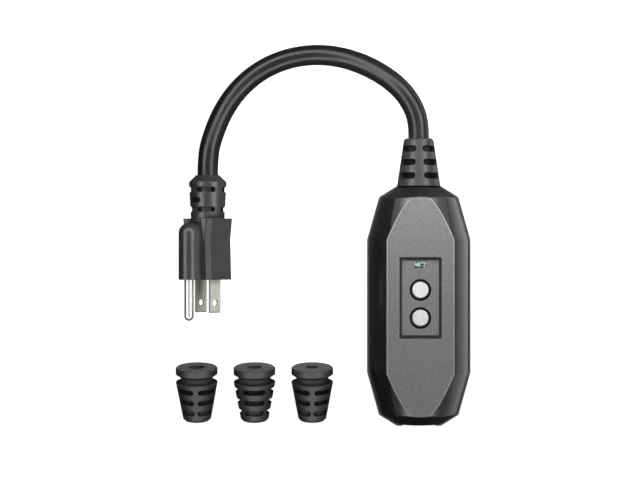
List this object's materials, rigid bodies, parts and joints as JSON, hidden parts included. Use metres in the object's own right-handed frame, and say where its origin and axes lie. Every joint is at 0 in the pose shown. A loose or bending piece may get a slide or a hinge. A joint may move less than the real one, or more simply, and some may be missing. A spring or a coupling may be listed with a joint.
{
  "type": "in-line ground-fault cord set",
  "caption": "Short power lead with a moulded three-prong plug, an in-line tripping module with reset and test buttons, and loose cord bushings.",
  "frame": {"origin": "centre of the module's flat back face, which lies on the table", "axes": "+Z out of the button face, +Y towards the line cord's boot, -Y out of the load end's port, +X to the right seen from the front"},
  "size_m": [0.1547, 0.2006, 0.0403],
  "materials": {
    "shell_black": "fine moulded grain",
    "boot_black": "soft satin, flexible",
    "cord_black": "soft satin jacket",
    "plug_black": "fine moulded grain, flexible",
    "bushing_rubber": "dull moulded rubber",
    "seal_rubber": "dull",
    "button_white": "satin",
    "window_clear": "clear, faintly green",
    "blade_nickel": "nickel plated, satin",
    "pin_chrome": "polished plating",
    "steel": "zinc plated",
    "brass": "plain",
    "silver_contact": "silver faced",
    "copper_winding": "enamelled copper wire",
    "board_green": "coated laminate",
    "inner_plastic": "natural nylon",
    "core_grey": "coated strip-wound core",
    "component_black": "moulded epoxy",
    "component_blue": "dipped epoxy",
    "component_tan": "lacquered",
    "led_clear": "clear epoxy",
    "wire_black": "insulation",
    "wire_white": "insulation",
    "wire_green": "insulation"
  },
  "bodies": {
    "housing": {"rear_cover": "shell_black", "front_cover": "shell_black", "cover_seal": "seal_rubber", "cover_screws": "steel", "indicator_lens": "window_clear", "reset_seal": "seal_rubber", "test_seal": "seal_rubber", "reset_spring": "steel", "test_spring": "steel", "test_contact": "brass", "mechanism_bridge": "inner_plastic", "fixed_contacts": "silver_contact", "contact_blades": "brass", "coil_yoke": "steel", "coil_bobbin": "inner_plastic", "trip_coil": "copper_winding", "circuit_board": "board_green", "board_screws": "steel", "transformer_housing": "component_black", "sense_core": "core_grey", "neutral_core": "core_grey", "capacitors": "component_black", "resistors": "component_tan", "varistor": "component_blue", "thyristor": "component_black", "control_chip": "component_black", "indicator_led": "led_clear", "terminal_block": "inner_plastic", "load_terminal_hot": "brass", "load_terminal_ground": "brass", "load_terminal_neutral": "brass", "terminal_screws": "steel", "busbars": "brass", "cord_clamp": "inner_plastic", "clamp_screws": "steel", "line_wire_hot": "wire_black", "line_wire_neutral": "wire_white", "line_wire_ground": "wire_green", "line_jacket": "cord_black", "line_boot": "boot_black", "cord": "cord_black", "plug_body": "plug_black", "plug_core": "component_black", "blade_hot": "blade_nickel", "blade_neutral": "blade_nickel", "ground_pin": "pin_chrome", "plug_wires": "brass", "plug_jacket": "cord_black"},
    "reset_button": {"reset_button": "button_white", "reset_pin": "steel"},
    "contact_carrier": {"contact_carrier": "inner_plastic", "contact_arms": "brass", "moving_contacts": "silver_contact"},
    "latch": {"latch_plate": "steel"},
    "plunger": {"trip_plunger": "steel"},
    "test_button": {"test_button": "button_white"},
    "test_leaf": {"test_leaf": "brass"},
    "bushing_large": {"bushing_large": "bushing_rubber"},
    "bushing_medium": {"bushing_medium": "bushing_rubber"},
    "bushing_small": {"bushing_small": "bushing_rubber"}
  },
  "joints": [
    {"name": "reset_press", "type": "slide", "parent": "housing", "child": "reset_button", "axis": [0, 0, -1], "range_m": [0, 0.002], "stiffness_N_per_m": 400, "springref_m": -0.002, "deforming": ["reset_spring"]},
    {"name": "carrier_drop", "type": "slide", "parent": "housing", "child": "contact_carrier", "axis": [0, 0, -1], "range_m": [0, 0.002]},
    {"name": "latch_slide", "type": "slide", "parent": "contact_carrier", "child": "latch", "axis": [-1, 0, 0], "range_m": [0, 0.001]},
    {"name": "plunger_strike", "type": "slide", "parent": "housing", "child": "plunger", "axis": [-1, 0, 0], "range_m": [0, 0.001], "stiffness_N_per_m": 200, "springref_m": -0.001},
    {"name": "test_press", "type": "slide", "parent": "housing", "child": "test_button", "axis": [0, 0, -1], "range_m": [0, 0.0015], "stiffness_N_per_m": 300, "springref_m": -0.002, "deforming": ["test_spring"]},
    {"name": "leaf_bend", "type": "hinge", "parent": "housing", "child": "test_leaf", "pos_m": [0, -0.0122, 0.0211], "axis": [-1, 0, 0], "range_deg": [0, 14.5]},
    {"name": "large_lift", "type": "slide", "parent": "housing", "child": "bushing_large", "axis": [0, 0, 1], "range_m": [0, 0.05]},
    {"name": "medium_lift", "type": "slide", "parent": "housing", "child": "bushing_medium", "axis": [0, 0, 1], "range_m": [0, 0.05]},
    {"name": "small_lift", "type": "slide", "parent": "housing", "child": "bushing_small", "axis": [0, 0, 1], "range_m": [0, 0.05]}
  ],
  "couplings": [
    {"joint": "carrier_drop", "follows": "reset_press", "ratio": 1},
    {"joint": "latch_slide", "follows": "plunger_strike", "ratio": 1},
    {"joint": "leaf_bend", "follows": "test_press", "rad_per_m": 165}
  ]
}
